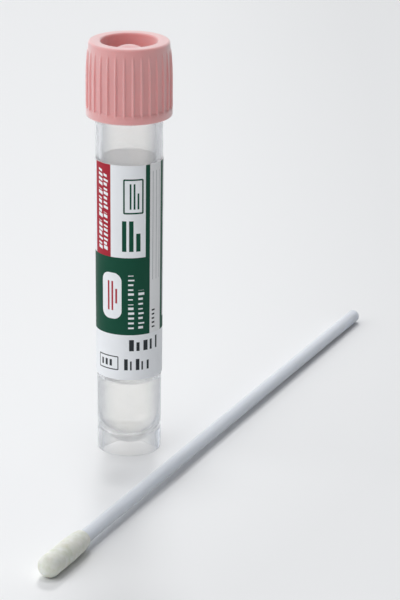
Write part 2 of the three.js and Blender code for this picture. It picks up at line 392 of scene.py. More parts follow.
def new_group(name, inputs, outputs):
    """An empty shader node group with its sockets, its input node and its output node."""
    group = bpy.data.node_groups.new(name, "ShaderNodeTree")
    for direction, sockets in (("INPUT", inputs), ("OUTPUT", outputs)):
        for socket, kind in sockets.items():
            group.interface.new_socket(
                name=socket, in_out=direction, socket_type="NodeSocket" + kind
            )
    inside = add_node(group, "NodeGroupInput").outputs
    return group, inside, add_node(group, "NodeGroupOutput").inputs


def place_group(tree, group, inputs):
    return add_node(tree, "ShaderNodeGroup", inputs, node_tree=group).outputs


def shared_group(name, build):
    """A node group that is built once and placed many times."""
    return bpy.data.node_groups.get(name) or build(name)


def build_moulding_group(name):
    """Slow clouding, roughness change and fine surface height of a moulded plastic."""
    group, inside, out = new_group(
        name,
        {"Place": "Vector", **floats("Cloud size", "Grain size", "Smooth", "Rough")},
        floats("Cloud", "Roughness", "Height"),
    )
    cloud_scale = calc(group, "DIVIDE", 1.0, inside["Cloud size"])
    grain_scale = calc(group, "DIVIDE", 1.0, inside["Grain size"])
    cloud = noise(group, inside["Place"], cloud_scale, 3.0)
    fill(group, out["Cloud"], cloud)
    rough = ramp(group, cloud, 0.3, 0.7, inside["Smooth"], inside["Rough"])
    fill(group, out["Roughness"], rough)
    fill(group, out["Height"], noise(group, inside["Place"], grain_scale, 4.0))
    return group


PATCH_SOCKETS = ("Around", "Up", "Middle", "Height", "Half width", "Half height", "Corner", "Line")
TICK_SOCKETS = (
    *("Along", "Across", "Start", "Length", "Low", "Width"),
    *("Pitch", "Share", "Run", "Run share", "Slant"),
)


def build_patch_group(name):
    """A printed patch with round corners: its filled area and its outline, in millimetres."""
    group, inside, out = new_group(name, floats(*PATCH_SOCKETS), floats("Filled", "Outline"))

    def beyond(at, middle, half):
        off = calc(group, "ABSOLUTE", calc(group, "SUBTRACT", inside[at], inside[middle]))
        return calc(group, "SUBTRACT", off, calc(group, "SUBTRACT", inside[half], inside["Corner"]))

    over_x = beyond("Around", "Middle", "Half width")
    over_y = beyond("Up", "Height", "Half height")
    out_x, out_y = calc(group, "MAXIMUM", over_x, 0.0), calc(group, "MAXIMUM", over_y, 0.0)
    square = calc(group, "ADD", *(calc(group, "MULTIPLY", off, off) for off in (out_x, out_y)))
    inner = calc(group, "MINIMUM", calc(group, "MAXIMUM", over_x, over_y), 0.0)
    reach = calc(group, "ADD", calc(group, "SQRT", square), inner)
    distance = calc(group, "SUBTRACT", reach, inside["Corner"])
    filled = calc(group, "LESS_THAN", distance, 0.0)
    rim = calc(group, "GREATER_THAN", calc(group, "ADD", distance, inside["Line"]), 0.0)
    fill(group, out["Filled"], filled)
    fill(group, out["Outline"], calc(group, "MULTIPLY", filled, rim))
    return group


def build_ticks_group(name):
    """A row of slanted ticks in runs, as plain marks, in millimetres."""
    group, inside, out = new_group(name, floats(*TICK_SOCKETS), floats("Marks"))
    rise = calc(group, "SUBTRACT", inside["Across"], inside["Low"])
    at = calc(group, "SUBTRACT", inside["Along"], inside["Start"])
    slanted = calc(group, "ADD", at, calc(group, "MULTIPLY", rise, inside["Slant"]))

    def between(value, high):
        above = calc(group, "GREATER_THAN", value, 0.0)
        return calc(group, "MULTIPLY", above, calc(group, "LESS_THAN", value, high))

    cell = calc(group, "DIVIDE", slanted, inside["Pitch"])
    chance = add_node(
        group,
        "ShaderNodeTexWhiteNoise",
        {"W": calc(group, "ADD", calc(group, "FLOOR", cell), inside["Low"])},
        noise_dimensions="1D",
    ).outputs["Value"]
    wide = calc(group, "MULTIPLY", inside["Share"], spread(group, chance, 0.55, 1.35))
    other_chance = calc(group, "FRACT", calc(group, "MULTIPLY", chance, 7.0))
    tall = calc(group, "MULTIPLY", inside["Width"], spread(group, other_chance, 0.7, 1.0))
    tick = calc(group, "LESS_THAN", calc(group, "FRACT", cell), wide)
    run = calc(group, "FRACT", calc(group, "DIVIDE", slanted, inside["Run"]))
    marks = calc(group, "MULTIPLY", tick, calc(group, "LESS_THAN", run, inside["Run share"]))
    area = calc(group, "MULTIPLY", between(slanted, inside["Length"]), between(rise, tall))
    fill(group, out["Marks"], calc(group, "MULTIPLY", area, marks))
    return group


def new_material(name):
    """A material with nodes, its Principled shader, and where Object coordinates come from."""
    material = bpy.data.materials.new(name)
    material.use_nodes = True
    tree = material.node_tree
    shader = tree.nodes["Principled BSDF"]
    place = add_node(tree, "ShaderNodeTexCoord").outputs["Object"]
    return material, tree, shader, place


def set_plain(shader, **values):
    """Sets values that are the same all over, on the shader's own sockets."""
    for key, value in values.items():
        shader.inputs[key.replace("_", " ")].default_value = value


def let_light_through(tree, shader, from_lamps, bounced=None):
    """Lets light reach what is behind a piece, dimmed at each face to those shares of it."""
    path = add_node(tree, "ShaderNodeLightPath").outputs
    shown = shader.outputs[0]
    rays = {"Is Diffuse Ray": bounced, "Is Reflection Ray": bounced, "Is Shadow Ray": from_lamps}
    for ray, share in rays.items():
        if share is None:
            continue
        clear = add_node(tree, "ShaderNodeBsdfTransparent", {"Color": (share,) * 3}).outputs[0]
        shown = add_node(tree, "ShaderNodeMixShader", {0: path[ray], 1: shown, 2: clear}).outputs[0]
    fill(tree, tree.nodes["Material Output"].inputs["Surface"], shown)


def add_bump(tree, shader, height, strength, distance):
    bump = add_node(
        tree, "ShaderNodeBump", {"Strength": strength, "Distance": distance, "Height": height}
    )
    fill(tree, shader.inputs["Normal"], bump.outputs["Normal"])


def moulding(tree, place, cloud_size, grain_size, smooth, rough):
    """A moulded surface's clouding, roughness and height, from its sizes in metres."""
    group = shared_group("moulded plastic", build_moulding_group)
    values = {"Place": place, "Cloud size": cloud_size, "Grain size": grain_size}
    return place_group(tree, group, {**values, "Smooth": smooth, "Rough": rough})


def shade(base, share):
    """That share of a colour, no brighter than white."""
    return tuple(min(1.0, c * share) for c in base)


def clouded(tree, skin, base, share):
    """A colour that drifts over the surface towards that share of itself."""
    return blend_colours(tree, skin["Cloud"], tuple(base), shade(base, share))


def painted_edge_shade(tree, body, edge, low, high):
    """The body's colour, turning to the darker edge colour where the surface is seen along itself:
    painted shade along the edges.
    """
    facing = add_node(tree, "ShaderNodeLayerWeight", {"Blend": 0.5}).outputs["Facing"]
    return blend_colours(tree, ramp(tree, facing, low, high), body, edge)


def cover(tree, shader, skin, colours):
    """Gives the shader its colours, and the roughness of that skin."""
    fill(tree, shader.inputs["Base Color"], colours)
    fill(tree, shader.inputs["Roughness"], skin["Roughness"])


def set_depth(shader, weight, scale, radius=(1.0, 1.0, 1.0)):
    """Sets how light spreads under the surface."""
    set_plain(shader, Subsurface_Weight=weight, Subsurface_Scale=scale, Subsurface_Radius=radius)


# ------------------------------------------------------------------ materials


def tube_plastic(settings):
    material, tree, shader, place = new_material("clear tube plastic")
    skin = moulding(tree, place, 6 * MM, 0.7 * MM, 0.09, 0.13)
    body = clouded(tree, skin, settings.plastic, 0.985)
    # Painted shade: the plastic turns grey where the wall is seen along itself.
    cover(tree, shader, skin, painted_edge_shade(tree, body, (0.62, 0.64, 0.67), 0.12, 0.5))
    set_plain(shader, Transmission_Weight=0.9, IOR=1.49)
    set_depth(shader, 1.0, 2 * MM)
    add_bump(tree, shader, skin["Height"], 0.02, 0.02 * MM)
    let_light_through(tree, shader, 0.95, 0.98)
    return material


def liquid_medium(settings):
    material, tree, shader, place = new_material("liquid medium")
    skin = moulding(tree, place, 4 * MM, 1 * MM, 0.0, 0.02)
    cover(tree, shader, skin, clouded(tree, skin, settings.liquid, 0.985))
    set_plain(shader, Transmission_Weight=1.0, IOR=1.335)
    let_light_through(tree, shader, 0.78, 0.99)
    return material


def cap_plastic(settings):
    material, tree, shader, place = new_material("cap plastic")
    skin = moulding(tree, place, 5 * MM, 0.25 * MM, 0.5, 0.6)
    cover(tree, shader, skin, clouded(tree, skin, settings.plastic, 1.06))
    set_plain(shader, IOR=1.5, Specular_IOR_Level=0.8, Sheen_Weight=1.0, Sheen_Roughness=0.6)
    set_depth(shader, 0.35, 1.2 * MM, (1.0, 0.35, 0.3))
    add_bump(tree, shader, skin["Height"], 0.08, 0.02 * MM)
    return material


def rod_plastic(settings):
    material, tree, shader, place = new_material("rod plastic")
    drawn = add_node(tree, "ShaderNodeUVMap", uv_map="wrap").outputs[0]
    lines = add_node(tree, "ShaderNodeMapping", {"Vector": drawn, "Scale": (2.2, 0.05, 1.0)})
    skin = moulding(tree, place, 9 * MM, 0.8 * MM, 0.5, 0.6)
    flow = noise(tree, lines.outputs[0], 1.0, 2.0)
    body = clouded(tree, skin, settings.rod, 1.05)
    # Painted shade: the rod turns darker at its edges, where it is seen along itself.
    cover(tree, shader, skin, painted_edge_shade(tree, body, shade(settings.rod, 0.72), 0.35, 0.85))
    set_plain(shader, IOR=1.5, Specular_IOR_Level=0.12)
    set_depth(shader, 0.8, 2.0 * MM)
    add_bump(tree, shader, flow, 0.1, 0.02 * MM)
    return material


def bud_fibre(settings):
    material, tree, shader, place = new_material("bud fibre")
    wound = add_node(tree, "ShaderNodeUVMap", uv_map="wrap").outputs[0]
    tilted = add_node(
        tree,
        "ShaderNodeMapping",
        {"Vector": wound, "Rotation": (0, 0, math.radians(16)), "Scale": (0.5, 7.0, 1.0)},
    )
    fibres = noise(tree, tilted.outputs[0], 1.0, 6.0, Roughness=0.7)
    tufts = noise(tree, place, 1 / (1.4 * MM), 3.0)
    body = tuple(settings.fibre)
    # Painted light and shade: a darker, greener copy of the fibre in the hollows between tufts and
    # strands, where the bump is low, and a paler copy on their crests.
    painted_shade = tuple(c * share for c, share in zip(body, (0.76, 0.78, 0.7)))
    pale = tuple(min(1.0, c * share) for c, share in zip(body, (1.1, 1.1, 1.24)))
    shaded_tufts = blend_colours(tree, spread(tree, tufts, -0.5, 1.5), painted_shade, pale)
    strands = blend_colours(tree, spread(tree, fibres, 0.0, 0.5), shaded_tufts, pale)
    fill(tree, shader.inputs["Base Color"], strands)
    fill(tree, shader.inputs["Roughness"], spread(tree, fibres, 0.85, 1.0))
    set_plain(shader, Sheen_Weight=0.3, Sheen_Roughness=0.5, Specular_IOR_Level=0.2)
    set_plain(shader, Subsurface_Weight=0.1, Subsurface_Scale=0.5 * MM)
    both = calc(tree, "ADD", fibres, calc(tree, "MULTIPLY", tufts, 1.5))
    add_bump(tree, shader, both, 0.6, 0.08 * MM)
    return material


# Where the floor's painted shade sets in, in metres: to the right of the tube, and behind it. It
# stands in for the light falling off.
PAINTED_SHADE_RIGHT = (-0.005, 0.04)
PAINTED_SHADE_BEHIND = (0.04, 0.4)


def floor_surface(settings):
    """A pale matt floor with painted shade that makes it a little darker to the right and far
    behind.
    """
    material, tree, shader, place = new_material("floor")
    skin = moulding(tree, place, 0.5, 0.004, 0.5, 0.6)
    pale = tuple(settings.floor)
    split = add_node(tree, "ShaderNodeSeparateXYZ", {"Vector": place}).outputs
    # Painted shade: the colour darkens to the right and towards the front, and far behind.
    nearer = calc(tree, "MULTIPLY", calc(tree, "MINIMUM", split["Y"], 0.0), 0.5)
    away = calc(tree, "SUBTRACT", split["X"], nearer)
    across = ramp(tree, away, *PAINTED_SHADE_RIGHT)
    shade_behind = ramp(tree, split["Y"], *PAINTED_SHADE_BEHIND)
    painted_falloff = blend_colours(tree, across, pale, shade(pale, 0.92))
    painted_falloff = blend_colours(tree, shade_behind, painted_falloff, (0.93, 0.93, 0.93), "MULTIPLY")
    drift = blend_colours(tree, skin["Cloud"], (1, 1, 1), (0.985, 0.985, 0.985))
    cover(tree, shader, skin, blend_colours(tree, 1.0, painted_falloff, drift, "MULTIPLY"))
    set_plain(shader, Specular_IOR_Level=0.0)
    return material


# ------------------------------------------------------------------ the label's print

# The print is placed by height and by the arc round the tube from the label's front, at this
# radius.
PRINT_RADIUS_MM = 6.2


def arc_mm(degrees):
    return math.radians(degrees) * PRINT_RADIUS_MM


# Fields of colour: left and right in degrees from the front, bottom and top in millimetres, colour.
FIELDS = (
    (-69.5, -31.6, 38.6, 57.0, "red"),
    (30.0, 38.5, 38.6, 57.0, "green"),
    (38.5, 67.0, 23.8, 57.0, "panel"),
    (67.0, 78.0, 23.8, 57.0, "green"),
    (-181.0, 38.5, 23.8, 38.6, "green"),
    (78.0, 181.0, 23.8, 26.0, "green"),
)

# Patches with round corners: middle and half width in degrees, middle and half height in
# millimetres, corner, line, colour. A line of 0 fills the patch.
PATCHES = (
    (8.5, 17.4, 50.2, 3.3, 0.3, 0.3, "green"),
    (-31.0, 19.0, 31.2, 4.4, 1.6, 0.0, "paper"),
    (-39.1, 21.3, 18.25, 1.35, 0.2, 0.2, "ink"),
)

# Bars: left and right in degrees, bottom and top in millimetres, colour.
BARS = (
    (-11.0, -3.5, 39.8, 45.6, "green"),
    (1.0, 8.5, 39.8, 45.6, "green"),
    (13.0, 20.5, 39.8, 43.2, "green"),
    (-38.0, -34.6, 28.4, 34.0, "red"),
    (-30.6, -27.2, 28.4, 34.0, "red"),
    (-23.2, -19.8, 29.8, 32.6, "red"),
    (2.0, 5.0, 47.8, 52.6, "green"),
    (8.6, 11.6, 47.8, 52.6, "green"),
    (15.2, 18.2, 47.8, 50.8, "green"),
    (44.6, 45.6, 34.0, 54.6, "rule"),
    (53.0, 54.0, 34.0, 54.6, "rule"),
    (61.4, 62.4, 34.0, 54.6, "rule"),
    (96.0, 97.0, 28.0, 54.0, "rule"),
    (112.0, 113.0, 28.0, 54.0, "rule"),
    (128.0, 129.0, 28.0, 54.0, "rule"),
)

# Rows of ticks: direction, start, length, low edge, width, pitch, share, run, run share, slant,
# colour. A row up the tube starts at a height and lies at an angle; one round it is the reverse.
TICK_ROWS = (
    ("up", 39.9, 15.3, -59.7, 1.15, 0.86, 0.6, 6.02, 0.88, 0.25, "paper"),
    ("up", 39.9, 14.4, -46.4, 1.05, 0.86, 0.6, 7.74, 0.9, 0.25, "paper"),
    ("up", 25.0, 11.0, -0.7, 1.2, 0.92, 0.4, 5.52, 0.86, 0.0, "paper"),
    ("up", 25.0, 7.4, 16.9, 1.2, 0.92, 0.4, 9.0, 1.0, 0.0, "paper"),
    ("up", 24.8, 3.5, 43.3, 0.9, 0.8, 0.5, 9.0, 1.0, 0.0, "ink"),
    ("round", 0.9, 6.9, 20.7, 2.4, 1.38, 0.5, 9.0, 1.0, 0.0, "ink"),
    ("round", -7.7, 5.5, 17.0, 2.3, 1.1, 0.52, 9.0, 1.0, 0.0, "ink"),
    ("round", -53.0, 2.9, 17.6, 1.3, 0.97, 0.55, 9.0, 1.0, 0.0, "ink"),
)

INKS = {"panel": (0.83, 0.84, 0.85), "ink": (0.03, 0.035, 0.04), "rule": (0.35, 0.36, 0.37)}


def print_masks(tree, around, up):
    """Each printed mark's mask and the name of its colour, in the order of printing."""
    patch = shared_group("printed patch", build_patch_group)
    ticks = shared_group("printed ticks", build_ticks_group)

    def patch_outputs(middle, half_width, height, half_height, corner, line):
        sizes = (arc_mm(middle), height, arc_mm(half_width), half_height, corner, line)
        return place_group(tree, patch, dict(zip(PATCH_SOCKETS, (around, up, *sizes))))

    def box(left, right, bottom, top):
        middle, height = (left + right) / 2, (bottom + top) / 2
        return patch_outputs(middle, right - middle, height, top - height, 0.0, 0.0)["Filled"]

    for left, right, bottom, top, name in FIELDS:
        yield box(left, right, bottom, top), name
    for middle, half_width, height, half_height, corner, line, name in PATCHES:
        made = patch_outputs(middle, half_width, height, half_height, corner, line)
        yield made["Outline" if line else "Filled"], name
    for left, right, bottom, top, name in BARS:
        yield box(left, right, bottom, top), name
    for way, start, run_length, low, width, *rhythm, name in TICK_ROWS:
        along, across = (up, around) if way == "up" else (around, up)
        first, edge = (start, arc_mm(low)) if way == "up" else (arc_mm(start), low)
        values = (along, across, first, run_length, edge, width, *rhythm)
        yield place_group(tree, ticks, dict(zip(TICK_SOCKETS, values)))["Marks"], name


def label_print(settings):
    material, tree, shader, place = new_material("printed label")
    unrolled = add_node(tree, "ShaderNodeUVMap", uv_map="wrap").outputs[0]
    split = add_node(tree, "ShaderNodeSeparateXYZ", {"Vector": unrolled}).outputs
    around, up = split["X"], split["Y"]
    skin = moulding(tree, place, 7 * MM, 0.12 * MM, 0.45, 0.55)
    colours = {**INKS, **{k: tuple(getattr(settings, k)) for k in ("paper", "red", "green")}}
    surface = clouded(tree, skin, colours["paper"], 0.985)
    for mask, name in print_masks(tree, around, up):
        surface = blend_colours(tree, mask, surface, colours[name])
    cover(tree, shader, skin, surface)
    set_plain(shader, IOR=1.47, Specular_IOR_Level=0.15)
    add_bump(tree, shader, skin["Height"], 0.05, 0.01 * MM)
    let_light_through(tree, shader, 0.85)
    return material


def label_back(settings):
    material, tree, shader, place = new_material("label underside")
    skin = moulding(tree, place, 3 * MM, 0.2 * MM, 0.5, 0.65)
    # The underside takes the paper's colour 8% brighter: painted light that makes up for the dim
    # light inside the tube.
    cover(tree, shader, skin, clouded(tree, skin, shade(settings.paper, 1.08), 0.96))
    set_depth(shader, 0.5, 1.5 * MM)
    let_light_through(tree, shader, 0.95)
    return material


# ------------------------------------------------------------------ pieces

# Sizes of the tube that follow the frame's part, in millimetres.
BOTTOM_LIFT_MM = 1.45
SKIRT_WALL_MM = 0.9
NECK_STEP_MM = 0.25
THREAD = {"pitch": 3.0, "height": 0.45, "root": 1.3, "crest": 0.5, "lead": 1.0, "gap": 0.12}
NECK_THREAD_TURNS = 1.75

# Steps round the tube, and round the liquid so that the two stay alike.
TUBE_STEPS = 120


def tube_radius(t, z_mm):
    """Outer radius of the drafted wall at a height, in millimetres."""
    neck_start = (t.height - t.neck_length) / MM
    foot, neck = t.foot_radius / MM, t.neck_radius / MM
    return foot + (neck - foot) * z_mm / neck_start


def bore_radius(t, z_mm):
    return tube_radius(t, z_mm) - t.wall / MM


def bottom_spheres(t):
    """Centre height, inner radius and outer radius of the round bottom, in millimetres."""
    wall = t.wall / MM
    centre = BOTTOM_LIFT_MM + wall + bore_radius(t, BOTTOM_LIFT_MM + wall + t.foot_radius / MM)
    inner = bore_radius(t, centre)
    return centre, inner, inner + wall


def tube_section(t):
    """From the round bottom's underside out, up the wall, over the rim and down the bore."""
    foot, neck = t.foot_radius / MM, t.neck_radius / MM
    top, neck_start = t.height / MM, (t.height - t.neck_length) / MM
    neck_root = neck - NECK_STEP_MM
    centre, inner, outer = bottom_spheres(t)
    skirt_inner = foot - SKIRT_WALL_MM
    sweep = math.degrees(math.acos((skirt_inner - 0.25) / outer))
    notch = centre - outer * math.sin(math.radians(sweep))
    rim_in = bore_radius(t, top)
    return [
        *arc(0, centre, outer, -90, -sweep, 22),
        *arc(skirt_inner - 0.14, notch - 0.02, 0.14, 90, 0, 4),
        (skirt_inner, 0.22),
        (skirt_inner + 0.07, 0.06),
        (skirt_inner + 0.2, 0),
        *arc(foot - 0.35, 0.35, 0.35, -90, 0, 5),
        *((tube_radius(t, z), z) for z in np.linspace(3, neck_start - 0.6, 14)),
        (neck - 0.01, neck_start - 0.35),
        (neck - 0.06, neck_start - 0.16),
        (neck_root + 0.06, neck_start - 0.05),
        (neck_root, neck_start + 0.1),
        *arc(neck_root - 0.25, top - 0.25, 0.25, 0, 90, 5),
        *arc(rim_in + 0.25, top - 0.25, 0.25, 90, 180, 5),
        *((bore_radius(t, z), z) for z in np.linspace(neck_start, centre + 3, 14)),
        *arc(0, centre, inner, 0, -90, 26),
    ]


def neck_thread(t):
    root = t.neck_radius / MM - NECK_STEP_MM
    top = t.height / MM - THREAD["lead"] - THREAD["root"] / 2
    return helical_ridge(
        (root - THREAD["height"] / 2, THREAD["root"]),
        (root + THREAD["height"], THREAD["crest"]),
        THREAD["pitch"],
        NECK_THREAD_TURNS,
        top - THREAD["pitch"] * NECK_THREAD_TURNS,
        -math.pi / 2,
    )


def place_on_axis(mesh, lift=0.0):
    mesh.transform(Matrix.Translation(AXIS + Vector((0, 0, lift))))
    return mesh


class SWABTUBE_OT_tube(Operator):
    """Build the clear tube with its round bottom, skirt and threaded neck"""

    bl_idname = "swabtube.tube"
    bl_label = "Tube"
    bl_options = {"REGISTER", "UNDO"}

    def execute(self, context):
        t = context.scene.swabtube_tube
        form = turned_form(tube_section(t), TUBE_STEPS)
        mesh = place_on_axis(united("tube_moulding", form, neck_thread(t)))
        plastic = tube_plastic(t)
        finish_piece("tube_moulding", mesh, [plastic], "tube_body", "clear_plastic", "tube")
        return {"FINISHED"}


class SWABTUBE_OT_medium(Operator):
    """Build the liquid medium in the round bottom"""

    bl_idname = "swabtube.medium"
    bl_label = "Liquid medium"
    bl_options = {"REGISTER", "UNDO"}

    def execute(self, context):
        t, medium = context.scene.swabtube_tube, context.scene.swabtube_medium
        centre, inner, _ = bottom_spheres(t)
        level = medium.level / MM
        into_wall = 0.03  # so that light passes from the wall straight into the liquid
        wall = bore_radius(t, level) + into_wall
        width, climb = 1.6, 0.4
        meniscus = [
            (wall - width * (1 - u), level + climb * u**3) for u in np.linspace(1, 0, 9)
        ]
        section = [
            *arc(0, centre, inner + into_wall, -90, 0, 24),
            *((bore_radius(t, z) + into_wall, z) for z in np.linspace(centre + 1, level, 4)),
            *meniscus,
            (0, level),
        ]
        bm = turned_form(section, TUBE_STEPS)
        mesh = place_on_axis(to_mesh(bm, "medium_liquid", 60))
        liquid = liquid_medium(medium)
        finish_piece("medium_liquid", mesh, [liquid], "tube_body", "medium", "transport_medium")
        return {"FINISHED"}


# Half of a rib's section: turn from its middle as a share of the rib's pitch, and how far it
# stands up as a share of its depth.
RIB_COLUMNS = (
    (0.0, 1.0),
    (0.055, 0.97),
    (0.09, 0.78),
    (0.125, 0.3),
    (0.16, 0.05),
    (0.22, 0.0),
    (0.34, 0.0),
    (0.5, 0.0),
)
FIRST_RIB_DEGREES = 6.5

# The cap's outside, height over its mouth and radius, in millimetres: over the ribs' crests, and
# over the wall between them.
CREST_LINE = (
    (1.5, 7.85),
    (7.2, 7.85),
    (8.8, 7.8),
    (10.4, 7.7),
    (11.4, 7.62),
    (12.0, 7.56),
    (12.35, 7.44),
)
WALL_LINE = ((1.5, 7.85), (1.8, 7.5), (8.0, 7.49), (10.4, 7.46), (12.35, 7.43))
CREST_HEIGHTS = (1.5, 1.62, 1.76, 1.95, 4.5, 7.2, 8.8, 10.4, 11.2, 11.8, 12.1, 12.35)
CAP_BAND_MM = 1.5
CAP_RIB_TOP_MM = 12.4

# The capture socket, from its blind end down its bore and round its mouth: radius and height over
# the cap's mouth, in millimetres.
SOCKET_LINE = (
    (0, 11.9),
    (1.2, 11.9),
    (1.35, 11.75),
    (1.35, 6.4),
    (1.85, 5.4),
    (2.0, 5.4),
    (2.15, 5.55),
)

# Sizes of the cap that follow the frame's part. The land is the flat that the tube's rim comes
# up to.
RECESS_RADIUS_MM = 5.2
RECESS_DEPTH_MM = 3.0
BOSS_RADIUS_MM = 2.6
BOSS_DROP_MM = 0.9
DOME_HEIGHT_MM = 0.8
LAND_DEPTH_MM = 4.2
RIM_GAP_MM = 0.1
PLUG_DEPTH_MM = 3.0
PLUG_GAP_MM = 0.1
CAP_THREAD_HEIGHT_MM = 0.25
CAP_THREAD_TURNS = 1.5


def line_at(line, z):
    heights, radii = zip(*line)
    return float(np.interp(z, heights, radii))


def cap_bore(t):
    """Inner radius of the skirt, which leaves room for both threads, in millimetres."""
    neck_root = t.neck_radius / MM - NECK_STEP_MM
    return neck_root + THREAD["height"] + THREAD["gap"] + CAP_THREAD_HEIGHT_MM


def cap_section(c, t):
    """From the capture socket's blind end out over the underside, up the outside, over the rim
    and across the recess to the boss."""
    height, band = c.height / MM, c.radius / MM
    floor, land = height - RECESS_DEPTH_MM, height - LAND_DEPTH_MM
    bore, plug = cap_bore(t), bore_radius(t, t.height / MM) - PLUG_GAP_MM
    recess, boss, dome = RECESS_RADIUS_MM, BOSS_RADIUS_MM, DOME_HEIGHT_MM
    dome_radius = (boss**2 + dome**2) / (2 * dome)
    dome_sweep = math.degrees(math.asin(boss / dome_radius))
    return [
        *SOCKET_LINE,
        (2.15, land - 0.2),
        (2.3, land),
        (plug - 0.95, land),
        (plug - 0.8, land - 0.15),
        (plug - 0.8, land - PLUG_DEPTH_MM),
        (plug - 0.3, land - PLUG_DEPTH_MM),
        (plug, land - PLUG_DEPTH_MM + 0.3),
        (plug, land),
        (bore - 0.15, land),
        (bore, land - 0.15),
        (bore, 0.3),
        (bore + 0.3, 0),
        *arc(band - 0.3, 0.3, 0.3, -90, 0, 4),
        (band, 0.9),
        *((line_at(CREST_LINE, z), z) for z in CREST_HEIGHTS),
        (7.41, 12.8),
        (7.395, 13.2),
        *arc(7.39 - 0.45, height - 0.45, 0.45, 10, 90, 7),
        *arc(recess + 0.35, height - 0.35, 0.35, 90, 180, 6),
        (recess - 0.02, height - 1.6),
        *arc(recess - 0.45, floor + 0.4, 0.4, 0, -90, 5),
        *arc(boss + 0.4, floor + 0.4, 0.4, 270, 180, 5),
        *arc(0, height - BOSS_DROP_MM - dome_radius, dome_radius, 90 - dome_sweep, 90, 10),
    ]


def raise_ribs(bm, c):
    """Draws the columns together at each rib and sinks the wall between the ribs."""
    pitch = math.tau / c.ribs
    half = len(RIB_COLUMNS) - 1
    step = pitch / (2 * half)
    first = math.radians(FIRST_RIB_DEGREES - 90)
    bottom, top = CAP_BAND_MM * MM + 1e-6, CAP_RIB_TOP_MM * MM
    bore_side = (c.radius - 0.9 * MM) ** 2
    for vert in bm.verts:
        flat = vert.co.x**2 + vert.co.y**2
        if flat < 1e-12:
            continue
        turn = math.atan2(vert.co.y, vert.co.x)
        column = round(turn / step)
        rib, at = divmod(column + half, 2 * half)
        share, stands = RIB_COLUMNS[abs(at - half)]
        turn = first + rib * pitch + math.copysign(share, at - half) * pitch
        radius = math.sqrt(flat)
        if bottom < vert.co.z < top and flat > bore_side:
            wall = line_at(WALL_LINE, vert.co.z / MM) * MM
            radius = wall + (radius - wall) * stands
        vert.co.x, vert.co.y = radius * math.cos(turn), radius * math.sin(turn)


def cap_thread(c, t):
    """The cap's ridge, half a pitch under the neck's, so that each runs between the other's."""
    bore = cap_bore(t)
    top = c.height / MM - LAND_DEPTH_MM - RIM_GAP_MM - THREAD["lead"] - THREAD["root"] / 2
    return helical_ridge(
        (bore + CAP_THREAD_HEIGHT_MM / 2, THREAD["root"]),
        (bore - CAP_THREAD_HEIGHT_MM, THREAD["crest"]),
        THREAD["pitch"],
        CAP_THREAD_TURNS,
        top - THREAD["pitch"] * (NECK_THREAD_TURNS + 0.5),
        -math.pi / 2,
    )


class SWABTUBE_OT_cap(Operator):
    """Build the ribbed screw cap with its recess, boss, plug ring, socket and thread"""

    bl_idname = "swabtube.cap"
    bl_label = "Screw cap"
    bl_options = {"REGISTER", "UNDO"}

    def execute(self, context):
        c, t = context.scene.swabtube_cap, context.scene.swabtube_tube
        bm = turned_form(cap_section(c, t), 2 * (len(RIB_COLUMNS) - 1) * c.ribs)
        raise_ribs(bm, c)
        mesh = united("cap_moulding", bm, cap_thread(c, t), 50)
        place_on_axis(mesh, cap_low.z)
        finish_piece("cap_moulding", mesh, [cap_plastic(c)], "cap", "cap_plastic", "screw_cap")
        return {"FINISHED"}


LABEL_GAP_MM = 0.05
LABEL_LAP_MM = 3.2


class SWABTUBE_OT_label(Operator):
    """Build the printed label, wound once round the tube with its end lapped at the back"""

    bl_idname = "swabtube.label"
    bl_label = "Label"
    bl_options = {"REGISTER", "UNDO"}

    def execute(self, context):
        s, t = context.scene.swabtube_label, context.scene.swabtube_tube
        bottom, top = s.bottom / MM, (s.bottom + s.height) / MM
        gap, thick = LABEL_GAP_MM, s.thickness / MM
        low, high = tube_radius(t, bottom) + gap, tube_radius(t, top) + gap
        corners = [(low, bottom), (low + thick, bottom), (high + thick, top), (high, top)]
        steps, lift_steps = 160, 8
        step = math.tau / steps
        back = math.pi / 2
        bm = bmesh.new()
        section = [(r * MM, z * MM) for r, z in corners]
        last = start_section(bm, section, closed=True, turn=back)
        last = spin(bm, last, math.tau - lift_steps * step, steps - lift_steps)
        lap_steps = round(LABEL_LAP_MM / tube_radius(t, bottom) / step)
        lifted = (thick + gap) * MM
        for i in range(lift_steps + lap_steps):
            last = spin(bm, last, step, 1)
            if i < lift_steps:
                ease = [(k / lift_steps) ** 2 * (3 - 2 * k / lift_steps) for k in (i, i + 1)]
                for vert in verts_of(last):
                    set_radius(vert, vert.co.xy.length + lifted * (ease[1] - ease[0]))
        fill_ends(bm)
        close_up(bm)
        unroll(bm, PRINT_RADIUS_MM * MM, "wrap")
        for face in bm.faces:
            middle = face.calc_center_median()
            outward = Vector((middle.x, middle.y, 0)).normalized()
            face.material_index = 0 if face.normal.dot(outward) > 0.9 else 1
        mesh = place_on_axis(to_mesh(bm, "label_sheet", 40))
        sides = [label_print(s), label_back(s)]
        finish_piece("label_sheet", mesh, sides, "tube_body", "label_paper", "label")
        return {"FINISHED"}


# How far the rod reaches into the bud.
ROD_IN_BUD_MM = 9.5


def lay_along_swab(mesh):
    """Turns a form drawn up the Z axis from its nose onto the swab's line."""
    turn = SWAB_ALONG.to_track_quat("Z", "Y").to_matrix().to_4x4()
    mesh.transform(Matrix.Translation(SWAB_NOSE) @ turn)
    return mesh


